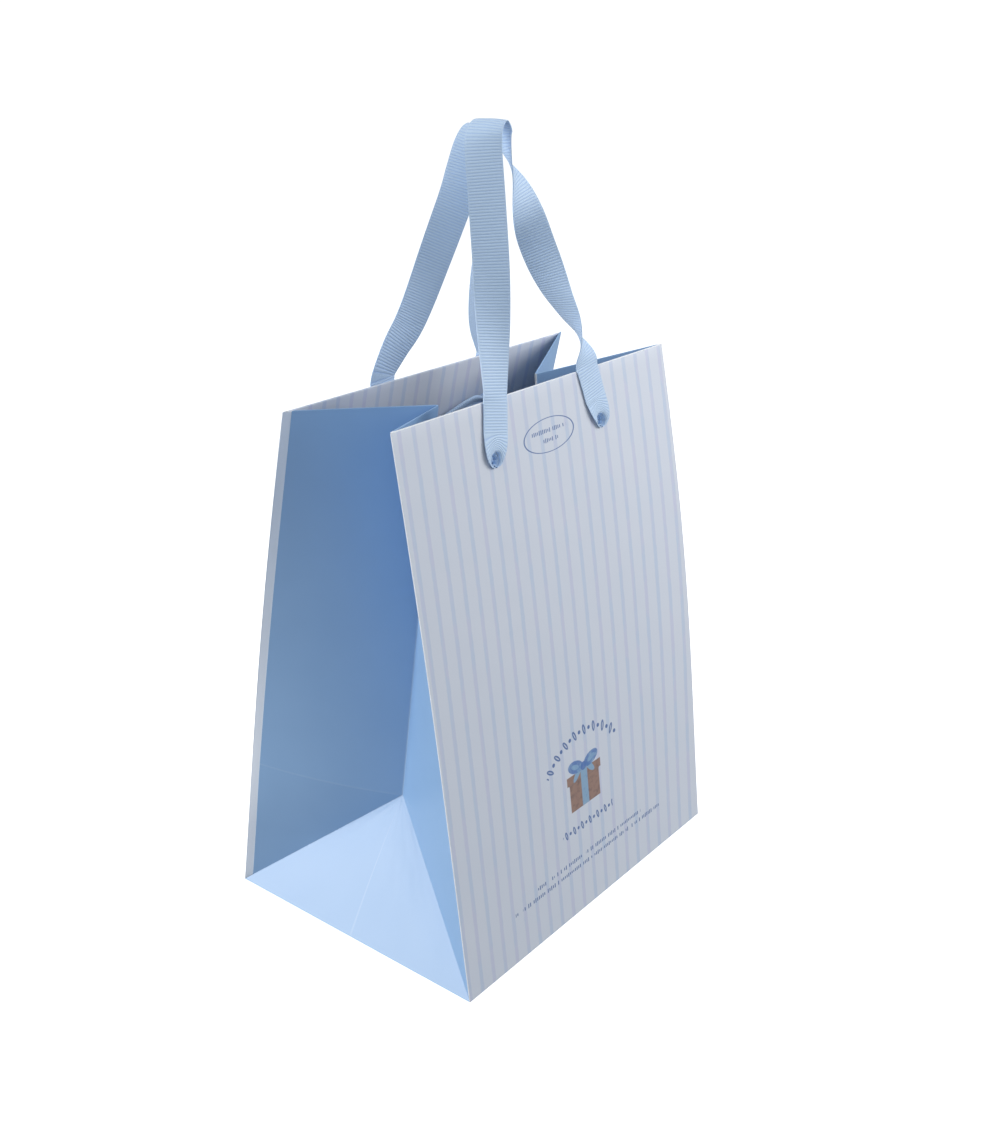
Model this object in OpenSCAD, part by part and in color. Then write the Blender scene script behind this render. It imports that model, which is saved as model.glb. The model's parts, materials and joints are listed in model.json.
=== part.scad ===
// Ribbon-handled paper gift bag, standing on its base with the mouth part closed.
// Origin at the middle of the base on the floor, +X to the right, +Y to the back, +Z up.
// The bag leans in at the front and the back, and each side folds in as a gusset.

/* [Bag] */
// Width of the front and back panels
bag_w = 250; // [200:5:400]
// Depth of the base, front to back
bag_d = 190; // [150:5:260]
// Length of a panel from the base fold to the top edge
bag_h = 330; // [270:5:400]
// Lean of the front panel from upright, in degrees
front_lean = 8.3; // [5:0.1:10]
// Lean of the back panel from upright, in degrees
back_lean = 11.2; // [5:0.1:12]

/* [Paper and card] */
// Thickness of the printed paper
paper_t = 0.4; // [0.2:0.05:0.6]
// Thickness of the stiffening cards at the top edge
card_t = 0.6; // [0.3:0.1:1.5]
// Thickness of the loose card in the base
base_card_t = 1; // [0.5:0.1:2]
// Gap between the two top edges at the closed end of the mouth's travel
closed_gap = 21.96; // [20:0.01:40]
// Height of the paper turned in at the top edge
turn_in_h = 50; // [45:1:80]
// Length of the front and back base flaps
base_flap_l = 115; // [100:1:140]
// Length of the two side base flaps
side_flap_l = 60; // [30:1:90]
// Width of the glue flap at the back left corner
glue_flap_w = 20; // [12:1:30]
// How much of the glue flap the gusset leaves bare
glue_flap_bare = 5; // [2:0.5:8]

/* [Ribbon handles] */
// Width of the ribbon
ribbon_w = 20; // [10:1:25]
// Thickness of the ribbon
ribbon_t = 0.5; // [0.3:0.1:1]
// Diameter of the handle holes
hole_d = 10; // [6:0.5:12]
// Distance between the two holes of a handle
hole_spacing = 100; // [80:1:120]
// Distance from the top edge down to the middle of a hole
hole_inset = 32; // [25:1:40]
// Rise of a handle above its bend at the top edge
handle_rise = 134; // [100:1:200]
// Diameter of a ribbon knot
knot_d = 10; // [8:0.5:12]
// How far in front of the base's middle the two handles meet
tip_shift = 7; // [0:0.5:10]

/* [Clearances] */
// Gap at each fold between two pieces that turn on it
fold_gap = 1; // [0.6:0.1:1.5]
// Gap between the pieces that pass each other
clear = 0.3; // [0.2:0.1:0.6]
// Gap between a top card and the side edges of its panel
card_margin = 3; // [2:0.5:10]
// Gap between the base flaps and the front and back panels
base_margin = 1.6; // [1.4:0.1:4]
// Gap between the base flaps and the side edges of the base
flap_margin = 2.2; // [2:0.1:6]
// Gap along the front diagonal fold of a gusset
front_diagonal_gap = 2.2; // [2:0.1:5]
// Gap along the back diagonal fold of a gusset, wider because the back panel leans in further
back_diagonal_gap = 4; // [3:0.1:8]
// Gap between the base card and the feet of the gussets
base_card_margin = 3.5; // [3:0.5:8]

/* [Hidden] */
$fn = 48;

// Colours
stripe_white = [0.86, 0.89, 0.95];
plain_blue = [0.60, 0.73, 0.88];
bare_white = [0.96, 0.96, 0.95];
card_white = [0.92, 0.92, 0.90];
ribbon_blue = [0.68, 0.79, 0.93];

// Layers of a gusset, which are set apart because they twist
layer_gap = 0.15;

// Folds
half_d = bag_d / 2;
mean_lean = (front_lean + back_lean) / 2;
stack_t = paper_t + card_t + paper_t;
hinge_in = stack_t + 2 * paper_t + layer_gap + clear;
hole_s = bag_h - hole_inset;
edge_start = 0.3;

// Travel of the mouth that the gussets keep clear of each other over, in degrees of lean
mouth_open = -4;
mouth_close = asin((half_d - closed_gap / 2) / bag_h) - mean_lean;
travel = [mouth_open, mouth_open / 2, 0, mouth_close / 2, mouth_close];

// Half the distance between the front and back panels at a height up the panel
function half_gap(lean, s) = (half_d - s * sin(lean)) / cos(lean);

// Turn of a gusset half from square to its panel, for a lean and a height up the panel
function turn_at(lean, s) = acos(half_gap(lean, s) / half_d);
function gusset_turn(s) = turn_at(mean_lean, max(s, half_d));

// Degrees that a gusset half turns for each degree of lean, to the nearest tenth
function turn_ratio(s) = round(
    10 * (turn_at(mean_lean + mouth_close, s) - turn_at(mean_lean + mouth_open / 2, s))
    / (mouth_close - mouth_open / 2)
) / 10;
lower_ratio = turn_ratio(half_d);
upper_ratio = turn_ratio(bag_h);

// Width of a gusset half that stays on its own side of the bag over the whole travel
function reach_at(lean, turn, s) = (half_gap(lean, s) - hinge_in - clear) / cos(turn);
function gusset_reach(s, ratio) = min([
    for (step = travel) reach_at(mean_lean + step, gusset_turn(s) + ratio * step, s)
]);
foot_tilt = gusset_turn(half_d);

// A closed strip between rings of four points each, with its two wide sides cut along the same diagonal
function ring_faces(rings) = concat(
    [[0, 1, 2], [0, 2, 3]],
    [for (r = [0 : rings - 2], side = [0 : 3])
        let (a = 4 * r + side, b = 4 * r + (side + 1) % 4)
            each side < 2 ? [[a, a + 4, b], [b, a + 4, b + 4]] : [[a, a + 4, b + 4], [a, b + 4, b]]],
    [[4 * rings - 4, 4 * rings - 2, 4 * rings - 3], [4 * rings - 4, 4 * rings - 1, 4 * rings - 2]]
);

module swept(rings) {
    polyhedron(points = [for (ring = rings) each ring], faces = ring_faces(len(rings)), convexity = 6);
}

// Frames: across the panel, up the panel, and out of the bag
module on_front() {
    translate([0, -half_d, 0]) rotate([90 - front_lean, 0, 0]) children();
}

module on_back() {
    mirror([0, 1, 0]) translate([0, -half_d, 0]) rotate([90 - back_lean, 0, 0]) children();
}

module on_right() {
    mirror([1, 0, 0]) children();
}

// Base
module flap(length, level) {
    translate([-bag_w / 2 + flap_margin, -half_d + base_margin, level * paper_t])
        cube([bag_w - 2 * flap_margin, length, paper_t]);
}

module side_flap() {
    corner = half_d - base_card_margin;
    inner = corner - side_flap_l / 2;
    outline = [[0, -corner], [side_flap_l, -inner], [side_flap_l, inner], [0, corner]];
    translate([-bag_w / 2 + base_card_margin, 0, 2 * paper_t]) linear_extrude(paper_t) polygon(outline);
}

module base_front_flap() {
    color(plain_blue) flap(base_flap_l, 0);
}

module base_back_flap() {
    color(plain_blue) mirror([0, 1, 0]) flap(base_flap_l, 1);
}

module base_left_flap() {
    color(plain_blue) side_flap();
}

module base_right_flap() {
    color(plain_blue) on_right() side_flap();
}

module base_card() {
    size_x = bag_w - 2 * base_card_margin;
    size_y = bag_d - 2 * base_card_margin;
    color(card_white) translate([-size_x / 2, -size_y / 2, 3 * paper_t])
        cube([size_x, size_y, base_card_t]);
}

// Panels, in layers counted inwards from the printed face
module layer(margin, low, depth, thickness) {
    difference() {
        translate([-bag_w / 2 + margin, low, -depth - thickness])
            cube([bag_w - 2 * margin, bag_h - low, thickness]);
        for (side = [-1, 1])
            translate([side * hole_spacing / 2, hole_s, -stack_t - 1]) cylinder(d = hole_d, h = stack_t + 2);
    }
}

module sheet_layer() {
    layer(0, edge_start, 0, paper_t);
}

module card_layer() {
    layer(card_margin, bag_h - turn_in_h, paper_t, card_t);
}

module turn_in_layer() {
    layer(card_margin, bag_h - turn_in_h, paper_t + card_t, paper_t);
}

// Knot behind a hole, with its neck of ribbon through the hole
module knot(side) {
    neck_d = hole_d * 0.6;
    knot_in = stack_t + clear + knot_d / 2;
    translate([side * hole_spacing / 2, hole_s, -knot_in]) {
        sphere(d = knot_d);
        cylinder(d = neck_d, h = knot_in - clear / 2);
    }
}

module front_panel() {
    color(stripe_white) on_front() sheet_layer();
}

module front_top_card() {
    color(card_white) on_front() card_layer();
}

module front_turn_in() {
    color(stripe_white) on_front() turn_in_layer();
}

module front_left_knot() {
    color(ribbon_blue) on_front() knot(-1);
}

module front_right_knot() {
    color(ribbon_blue) on_front() knot(1);
}

module back_panel() {
    color(stripe_white) on_back() sheet_layer();
}

module back_top_card() {
    color(card_white) on_back() card_layer();
}

module back_turn_in() {
    color(stripe_white) on_back() turn_in_layer();
}

module back_left_knot() {
    color(ribbon_blue) on_back() knot(-1);
}

module back_right_knot() {
    color(ribbon_blue) on_back() knot(1);
}

// Gusset half beside the left edge of a panel, level 0 being the printed paper and 1 the layer inside it
function plate_point(d, s, off, turn) = [
    -bag_w / 2 + d * sin(turn) + off * cos(turn), s, -hinge_in - d * cos(turn) + off * sin(turn)
];

// Twisted plate from one height up the panel to the top edge, with its rings at set distances below that edge
ring_rise = 5;

module upper_plate(from_d, to_d, from_s, level) {
    whole = ceil((bag_h - from_s) / ring_rise) - 1;
    heights = [from_s, for (k = [whole : -1 : 0]) bag_h - k * ring_rise];
    off = level * (paper_t + layer_gap);
    swept([for (s = heights)
        let (
            turn = gusset_turn(s),
            wide = min(to_d, gusset_reach(s, upper_ratio) - fold_gap / 2)
        )
        [
            plate_point(from_d, s, off, turn), plate_point(wide, s, off, turn),
            plate_point(wide, s, off + paper_t, turn), plate_point(from_d, s, off + paper_t, turn)
        ]
    ]);
}

module lower_plate(from_d, to_d, level, gap) {
    top = half_d - fold_gap / 2;
    rise = gap * sqrt(2);
    wide = min(to_d, top - rise, gusset_reach(half_d, lower_ratio) - fold_gap);
    outline = [[from_d, from_d + rise], [wide, wide + rise], [wide, top], [from_d, top]];
    translate([-bag_w / 2, 0, -hinge_in]) rotate([0, 90 - foot_tilt, 0])
        translate([0, 0, level * (paper_t + layer_gap)]) linear_extrude(paper_t) polygon(outline);
}

module gusset_upper(from_d) {
    upper_plate(from_d, half_d, half_d + fold_gap / 2, 0);
}

module gusset_turn_in(from_d) {
    upper_plate(from_d, half_d - card_margin, bag_h - turn_in_h, 1);
}

module left_front_gusset_lower() {
    color(plain_blue) on_front() lower_plate(fold_gap, half_d, 0, front_diagonal_gap);
}

module left_front_gusset_upper() {
    color(plain_blue) on_front() gusset_upper(fold_gap);
}

module left_front_gusset_turn_in() {
    color(plain_blue) on_front() gusset_turn_in(card_margin);
}

module left_back_gusset_lower() {
    color(plain_blue) on_back() lower_plate(glue_flap_bare, half_d, 0, back_diagonal_gap);
}

module left_back_gusset_upper() {
    color(plain_blue) on_back() gusset_upper(glue_flap_bare);
}

module left_back_gusset_turn_in() {
    color(plain_blue) on_back() gusset_turn_in(glue_flap_w + fold_gap);
}

module right_front_gusset_lower() {
    color(plain_blue) on_right() on_front() lower_plate(fold_gap, half_d, 0, front_diagonal_gap);
}

module right_front_gusset_upper() {
    color(plain_blue) on_right() on_front() gusset_upper(fold_gap);
}

module right_front_gusset_turn_in() {
    color(plain_blue) on_right() on_front() gusset_turn_in(card_margin);
}

module right_back_gusset_lower() {
    color(plain_blue) on_right() on_back() lower_plate(fold_gap, half_d, 0, back_diagonal_gap);
}

module right_back_gusset_upper() {
    color(plain_blue) on_right() on_back() gusset_upper(fold_gap);
}

module right_back_gusset_turn_in() {
    color(plain_blue) on_right() on_back() gusset_turn_in(card_margin);
}

module glue_flap_lower() {
    color(bare_white) on_back() lower_plate(fold_gap, glue_flap_w, 1, back_diagonal_gap);
}

module glue_flap_upper() {
    color(bare_white) on_back() upper_plate(fold_gap, glue_flap_w, half_d + fold_gap / 2, 1);
}

// Foot: the triangle between the two diagonals, hinged on the side edge of the base
module foot() {
    low = edge_start;
    front_end = half_d - front_diagonal_gap * sqrt(2);
    back_end = half_d - back_diagonal_gap * sqrt(2);
    apex = [(back_end - front_end) / 2, (front_end + back_end) / 2];
    outline = [[-front_end + low, low], [back_end - low, low], apex];
    translate([-bag_w / 2, 0, 0]) rotate([0, foot_tilt, 0]) rotate([90, 0, 90])
        linear_extrude(paper_t) polygon(outline);
}

module left_foot() {
    color(plain_blue) foot();
}

module right_foot() {
    color(plain_blue) on_right() foot();
}

// Ribbon ends, from each hole up over the panel to the bend above the top edge
bend_above = 5;
bend_in = 0.84;
end_length = hole_inset + bend_above;

module handle_ends() {
    start = fold_gap + ribbon_t / 2;
    neck = hole_d * 0.45;
    full = ribbon_w / 2;
    spread = hole_spacing / 2;
    shift = -spread * (1 - bend_in);
    for (side = [-1, 1])
        translate([side * spread, hole_s, clear]) linear_extrude(ribbon_t) polygon([
            [-neck, start], [neck, start],
            [full + side * shift / 2, end_length / 2], [full + side * shift, end_length - fold_gap],
            [-full + side * shift, end_length - fold_gap], [-full + side * shift / 2, end_length / 2]
        ]);
}

module front_handle_ends() {
    color(ribbon_blue) on_front() handle_ends();
}

module back_handle_ends() {
    color(ribbon_blue) on_back() handle_ends();
}

// Ribbon loops. Each place on a route is chosen by hand: share of the half spacing of the holes,
// share of the way to where the handles meet, share of the rise, and turn of the ribbon's width.
front_route = [
    [-0.84, 0.00, 0.00, 0], [-0.77, 0.12, 0.13, -12], [-0.68, 0.27, 0.28, -30],
    [-0.58, 0.45, 0.47, -45], [-0.48, 0.68, 0.71, -51], [-0.39, 0.88, 0.90, -55],
    [-0.30, 0.96, 0.97, -70], [-0.16, 0.99, 1.00, -85], [-0.03, 0.97, 0.96, -105],
    [0.01, 0.92, 0.91, -122], [0.03, 0.85, 0.84, -141], [0.14, 0.71, 0.72, -190],
    [0.26, 0.56, 0.54, -228], [0.36, 0.42, 0.42, -240], [0.50, 0.30, 0.30, -262],
    [0.66, 0.18, 0.19, -285], [0.77, 0.07, 0.09, -320], [0.84, 0.00, 0.00, -360]
];
back_route = [
    [-0.84, 0.00, 0.00, 0], [-0.84, 0.10, 0.10, -12], [-0.70, 0.19, 0.18, -18],
    [-0.49, 0.31, 0.30, -24], [-0.32, 0.46, 0.45, -32], [-0.18, 0.60, 0.59, -40],
    [-0.07, 0.73, 0.71, -48], [0.00, 0.82, 0.81, -56], [0.06, 0.93, 0.91, -66],
    [0.14, 0.98, 0.97, -80], [0.24, 1.00, 0.99, -95], [0.35, 0.98, 0.96, -112],
    [0.40, 0.90, 0.87, -125], [0.44, 0.75, 0.73, -140], [0.48, 0.56, 0.55, -155],
    [0.54, 0.36, 0.35, -168], [0.65, 0.15, 0.15, -176], [0.84, 0.00, 0.00, -180]
];

// Smooth curve through the places of a route
function curve_at(a, b, c, d, t) =
    0.5 * (2 * b + (c - a) * t + (2 * a - 5 * b + 4 * c - d) * t * t
    + (3 * b - a - 3 * c + d) * t * t * t);
function smooth(route, cuts) = [
    for (i = [0 : len(route) - 2], k = [0 : cuts - 1])
        curve_at(
            route[max(i - 1, 0)], route[i], route[i + 1],
            route[min(i + 2, len(route) - 1)], k / cuts
        ),
    route[len(route) - 1]
];
function unit(v) = v / norm(v);

// Ribbon along a route with square ends, where inwards is +1 at the front and -1 at the back
module loop(route, bend, meet, inwards) {
    places = smooth(route, 3);
    last = len(places) - 1;
    path = [for (p = places)
        [p.x * hole_spacing / 2, bend.x + p.y * (meet - bend.x), bend.y + p.z * handle_rise]];
    swept([for (i = [0 : last])
        let (
            along = i == 0 ? [0, 0, 1] : i == last ? [0, 0, -1] : unit(path[i + 1] - path[i - 1]),
            turn = places[i][3],
            level = [cos(turn), sin(turn), 0],
            width = unit(level - (level * along) * along) * ribbon_w / 2,
            thick = unit(cross(width, along)) * ribbon_t / 2 * inwards
        )
        [
            path[i] - width - thick, path[i] + width - thick,
            path[i] + width + thick, path[i] - width + thick
        ]
    ]);
}

// Bend line of each handle, as y and z, at the middle of the ribbon's thickness
function bend_line(lean) = [
    -half_d + (bag_h + bend_above) * sin(lean) - (clear + ribbon_t / 2) * cos(lean),
    (bag_h + bend_above) * cos(lean) + (clear + ribbon_t / 2) * sin(lean)
];
meet_gap = clear + ribbon_w / 2 + ribbon_t;

module front_handle_loop() {
    bend = bend_line(front_lean);
    color(ribbon_blue) translate([0, 0, fold_gap])
        loop(front_route, bend, -tip_shift - meet_gap, 1);
}

module back_handle_loop() {
    bend = bend_line(back_lean);
    color(ribbon_blue) translate([0, 0, fold_gap])
        loop(back_route, [-bend.x, bend.y], -tip_shift + meet_gap, 1);
}

base_front_flap();
base_back_flap();
base_left_flap();
base_right_flap();
base_card();
front_panel();
front_top_card();
front_turn_in();
front_left_knot();
front_right_knot();
back_panel();
back_top_card();
back_turn_in();
back_left_knot();
back_right_knot();
left_front_gusset_lower();
left_front_gusset_upper();
left_front_gusset_turn_in();
left_back_gusset_lower();
left_back_gusset_upper();
left_back_gusset_turn_in();
right_front_gusset_lower();
right_front_gusset_upper();
right_front_gusset_turn_in();
right_back_gusset_lower();
right_back_gusset_upper();
right_back_gusset_turn_in();
glue_flap_lower();
glue_flap_upper();
left_foot();
right_foot();
front_handle_ends();
front_handle_loop();
back_handle_ends();
back_handle_loop();
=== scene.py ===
import json
import math

import bmesh
import bpy
from mathutils import Matrix, Vector


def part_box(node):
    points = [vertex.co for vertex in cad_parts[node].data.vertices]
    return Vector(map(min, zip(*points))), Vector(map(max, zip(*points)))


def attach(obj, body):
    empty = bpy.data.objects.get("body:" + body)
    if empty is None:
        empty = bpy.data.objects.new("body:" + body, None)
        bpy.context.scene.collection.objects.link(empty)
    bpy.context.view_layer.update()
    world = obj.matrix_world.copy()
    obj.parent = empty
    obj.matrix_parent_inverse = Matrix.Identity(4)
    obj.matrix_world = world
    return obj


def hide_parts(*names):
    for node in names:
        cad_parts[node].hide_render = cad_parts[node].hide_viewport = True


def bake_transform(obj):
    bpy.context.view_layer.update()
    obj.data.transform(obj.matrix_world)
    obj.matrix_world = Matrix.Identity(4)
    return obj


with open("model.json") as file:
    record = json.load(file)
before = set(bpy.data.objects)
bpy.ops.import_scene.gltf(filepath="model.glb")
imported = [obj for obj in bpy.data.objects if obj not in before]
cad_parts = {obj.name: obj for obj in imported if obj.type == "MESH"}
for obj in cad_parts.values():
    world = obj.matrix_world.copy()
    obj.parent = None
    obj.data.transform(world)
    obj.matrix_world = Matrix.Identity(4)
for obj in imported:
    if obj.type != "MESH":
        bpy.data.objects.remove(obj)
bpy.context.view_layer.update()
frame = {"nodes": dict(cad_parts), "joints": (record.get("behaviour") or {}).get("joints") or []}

mm = 0.001


def joint(name):
    return next(j for j in frame["joints"] if j["name"] == name)


def mix(a, b, share):
    return a + (b - a) * share


def tint(red, green, blue):
    # screen colour, 0 to 255, as the linear colour a shader wants
    return tuple(
        c / 12.92 if c <= 0.04045 else ((c + 0.055) / 1.055) ** 2.4
        for c in (red / 255, green / 255, blue / 255)
    ) + (1.0,)


# the bag's own sizes, read off the frame
panelLow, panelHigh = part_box("front_panel")
halfWidth, halfDepth = panelHigh.x, -panelLow.y
_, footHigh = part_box("left_foot")


def leanOf(name):
    axis = joint(name)["axis"]
    return math.atan2(abs(axis[1]), abs(axis[2]))


# each panel bows outwards by this much at its left and right edges
panels = {
    "front": {"sign": -1, "lean": leanOf("left_front_corner_fold"), "bow": (2.2 * mm, 5.2 * mm)},
    "back": {"sign": 1, "lean": leanOf("left_back_corner_fold"), "bow": (3.0 * mm, 3.0 * mm)},
}
bag = {
    "height": panelHigh.z / math.cos(panels["front"]["lean"]),
    "paper": 0.4 * mm,
    "stack": 1.4 * mm,        # paper, card and paper at the top of a panel
    "turnIn": 50 * mm,
    "holeRadius": 5 * mm,
    "punchDepth": 12 * mm,
    "bowShape": 1.2,          # over 1 puts the fullest part above the middle
    "cardShare": 0.94,        # the card strip's width against the panel's
    "cardThick": 0.5 * mm,
    "cardGap": 0.05 * mm,     # between the card and the paper over it
    "trim": 2.4,              # how much narrower a layer is at each end for its depth
}


def onPanel(end, x, s, out=0.0):
    # x across, s up the panel, out from the printed face, all on the bowed sheet
    shape = panels[end]
    share = min(max(s / bag["height"], 0.0), 1.0)
    bow = mix(*shape["bow"], 0.5 + x / (2 * halfWidth))
    out = out + bow * math.sin(math.pi * share ** bag["bowShape"])
    slope, rise = math.sin(shape["lean"]), math.cos(shape["lean"])
    return Vector((x, shape["sign"] * (halfDepth - s * slope + out * rise), s * rise + out * slope))


def outOf(end):
    lean = panels[end]["lean"]
    return Vector((0, panels[end]["sign"] * math.cos(lean), math.sin(lean)))


def upOf(end):
    lean = panels[end]["lean"]
    return Vector((0, -panels[end]["sign"] * math.sin(lean), math.cos(lean)))


def holeUp(end):
    # how far up the panel its two ribbon holes are
    foot = Vector((0, panels[end]["sign"] * halfDepth, 0))
    return (Vector(joint(end + "_handle_swing")["pos_m"]) - foot).dot(upOf(end))


def holeAcross(end):
    low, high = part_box(end + "_right_knot")
    return (low.x + high.x) / 2


# mesh helpers

def bendGrid(name, columns, rows, place, flat, facing):
    # a flat grid whose points go where place says; flat gives its pattern coordinates in metres
    mesh = bmesh.new()
    flatMap = mesh.loops.layers.uv.new("flat")
    shareMap = mesh.loops.layers.uv.new("share")
    bmesh.ops.create_grid(mesh, x_segments=columns, y_segments=rows, size=0.5)
    spots = {v: (v.co.x + 0.5, v.co.y + 0.5) for v in mesh.verts}
    for face in mesh.faces:
        for corner in face.loops:
            corner[flatMap].uv = flat(*spots[corner.vert])
            corner[shareMap].uv = spots[corner.vert]
    for v, (across, up) in spots.items():
        v.co = place(across, up)
    bmesh.ops.remove_doubles(mesh, verts=mesh.verts, dist=1e-6)
    mesh.normal_update()
    if sum((f.normal * f.calc_area() for f in mesh.faces), Vector()).dot(facing) < 0:
        bmesh.ops.reverse_faces(mesh, faces=mesh.faces)
    return keep(name, mesh)


def keep(name, mesh):
    for face in mesh.faces:
        face.smooth = True
    data = bpy.data.meshes.new(name)
    mesh.to_mesh(data)
    mesh.free()
    piece = bpy.data.objects.new(name, data)
    bpy.context.scene.collection.objects.link(piece)
    return piece


def paint(piece, *materials):
    piece.data.materials.clear()
    for material in materials:
        piece.data.materials.append(material)
    return piece


def wall(piece, thickness, offset=-1.0, sides=True):
    # gives a sheet its thickness; with sides, the back and the cut edge take the next two materials
    solid = piece.modifiers.new("wall", "SOLIDIFY")
    solid.thickness = thickness
    solid.offset = offset
    solid.use_even_offset = False
    if sides:
        solid.material_offset = 1
        solid.material_offset_rim = 2
    return piece


def settle(piece, sharp=35):
    # fixes the modifiers into the mesh, with edges sharper than this left crisp
    bpy.context.view_layer.update()
    made = bpy.data.meshes.new_from_object(piece.evaluated_get(bpy.context.evaluated_depsgraph_get()))
    piece.modifiers.clear()
    piece.data = made
    crisp(piece, sharp)
    return piece


def crisp(piece, sharp=35):
    mesh = bmesh.new()
    mesh.from_mesh(piece.data)
    for face in mesh.faces:
        face.smooth = True
    for edge in mesh.edges:
        edge.smooth = len(edge.link_faces) == 2 and edge.calc_face_angle() < math.radians(sharp)
    mesh.to_mesh(piece.data)
    mesh.free()


# material helpers

class Num:
    # a number socket that works in plain arithmetic
    def __init__(self, finish, socket):
        self.finish, self.socket = finish, socket

    def by(self, operation, other, swapped=False):
        first, second = (other, self) if swapped else (self, other)
        return self.finish.maths(operation, first, second)

    def __add__(self, other):
        return self.by("ADD", other)

    def __radd__(self, other):
        return self.by("ADD", other, True)

    def __sub__(self, other):
        return self.by("SUBTRACT", other)

    def __rsub__(self, other):
        return self.by("SUBTRACT", other, True)

    def __mul__(self, other):
        return self.by("MULTIPLY", other)

    def __rmul__(self, other):
        return self.by("MULTIPLY", other, True)

    def __truediv__(self, other):
        return self.by("DIVIDE", other)


class Finish:
    def __init__(self, name, **constants):
        self.material = bpy.data.materials.new(name)
        self.material.use_nodes = True
        self.tree = self.material.node_tree
        self.tree.nodes.clear()
        self.shader = self.node("ShaderNodeBsdfPrincipled", inputs=constants)
        self.node("ShaderNodeOutputMaterial", inputs={"Surface": self.shader.outputs[0]})

    def node(self, kind, settings=None, inputs=None):
        made = self.tree.nodes.new(kind)
        for key, value in (settings or {}).items():
            setattr(made, key, value)
        for key, value in (inputs or {}).items():
            self.feed(made.inputs[key], value)
        return made

    def feed(self, socket, value):
        if isinstance(value, Num):
            value = value.socket
        if isinstance(value, bpy.types.NodeSocket):
            self.tree.links.new(value, socket)
        else:
            socket.default_value = value

    def set(self, **inputs):
        for key, value in inputs.items():
            self.feed(self.shader.inputs[key.replace("_", " ")], value)

    def maths(self, operation, first, second=0.0):
        made = self.node("ShaderNodeMath", {"operation": operation}, {0: first, 1: second})
        return Num(self, made.outputs[0])

    def part(self, vector):
        made = self.node("ShaderNodeSeparateXYZ", inputs={0: vector})
        return [Num(self, out) for out in made.outputs]

    def uv(self, name="flat"):
        return self.node("ShaderNodeUVMap", {"uv_map": name}).outputs[0]

    def place(self):
        return self.node("ShaderNodeTexCoord").outputs["Object"]

    def cloud(self, vector, size, detail=2.0, stretch=(1, 1, 1)):
        # soft noise, 0 to 1, with blobs of about this size in metres
        scaled = self.node("ShaderNodeMapping", inputs={"Vector": vector, "Scale": stretch}).outputs[0]
        made = self.node("ShaderNodeTexNoise", inputs={"Vector": scaled, "Scale": 1 / size, "Detail": detail})
        return Num(self, made.outputs[0])

    def chance(self, number):
        made = self.node("ShaderNodeTexWhiteNoise", {"noise_dimensions": "1D"}, {"W": number})
        return Num(self, made.outputs[0])

    def ease(self, number, low, high):
        # 0 below low, 1 above high, and a soft step between
        made = self.node(
            "ShaderNodeMapRange", {"interpolation_type": "SMOOTHSTEP"},
            {"Value": number, "From Min": low, "From Max": high, "To Min": 0.0, "To Max": 1.0},
        )
        return Num(self, made.outputs[0])

    def blend(self, under, over, mask):
        made = self.node("ShaderNodeMix", {"data_type": "RGBA"}, {0: mask, 6: under, 7: over})
        return made.outputs[2]

    def bump(self, height, distance):
        made = self.node("ShaderNodeBump", inputs={"Height": height, "Distance": distance, "Strength": 1.0})
        return made.outputs[0]

    def size(self, number):
        return self.maths("ABSOLUTE", number)

    def cell(self, number):
        # place within each repeat, from -0.5 to 0.5, and the number of the repeat
        whole = self.maths("FLOOR", number)
        return number - whole - 0.5, whole

    def inBox(self, x, y, middle, across, tall, soft=0.15 * mm):
        aside, above = self.size(x - middle[0]) - across / 2, self.size(y - middle[1]) - tall / 2
        return 1 - self.ease(self.maths("MAXIMUM", aside, above), -soft, soft)

    def inOval(self, x, y, middle, across, tall, turn=0.0, soft=0.06):
        c, s = math.cos(math.radians(turn)), math.sin(math.radians(turn))
        dx, dy = x - middle[0], y - middle[1]
        u, v = (dx * c + dy * s) / (across / 2), (dy * c - dx * s) / (tall / 2)
        return 1 - self.ease(self.maths("SQRT", u * u + v * v), 1 - soft, 1 + soft)


# camera and lights

camera = {
    "place": (-0.593, -0.490, 0.518),
    "turn": 38.58,            # from +X towards +Y
    "down": 22.3,
    "lens": 42.73,
}
studio = {
    "sky": 0.38,
    "skyTint": (0.84, 0.92, 1.0, 1.0),
    # place, side and power of each lamp
    "key": ((-1.6, 1.2, 0.64), 1.5, 33),
    "top": ((0.0, 0.1, 2.3), 2.0, 9),
    "fill": ((0.75, -0.75, 0.75), 0.7, 8),
    "floorGlow": 0.8,
    "floorHalf": 40,
    "floorDrop": 0.3 * mm,
    "wallRadius": 39,
    "wallHigh": 60,
    "sensor": 36,
}


def lamp(name, place, across, power, aim=(0, 0, 0.16)):
    data = bpy.data.lights.new(name, "AREA")
    data.size, data.energy = across, power
    light = bpy.data.objects.new(name, data)
    light.location = place
    light.rotation_euler = (Vector(aim) - Vector(place)).to_track_quat("-Z", "Y").to_euler()
    light.visible_camera = False
    bpy.context.scene.collection.objects.link(light)


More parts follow.
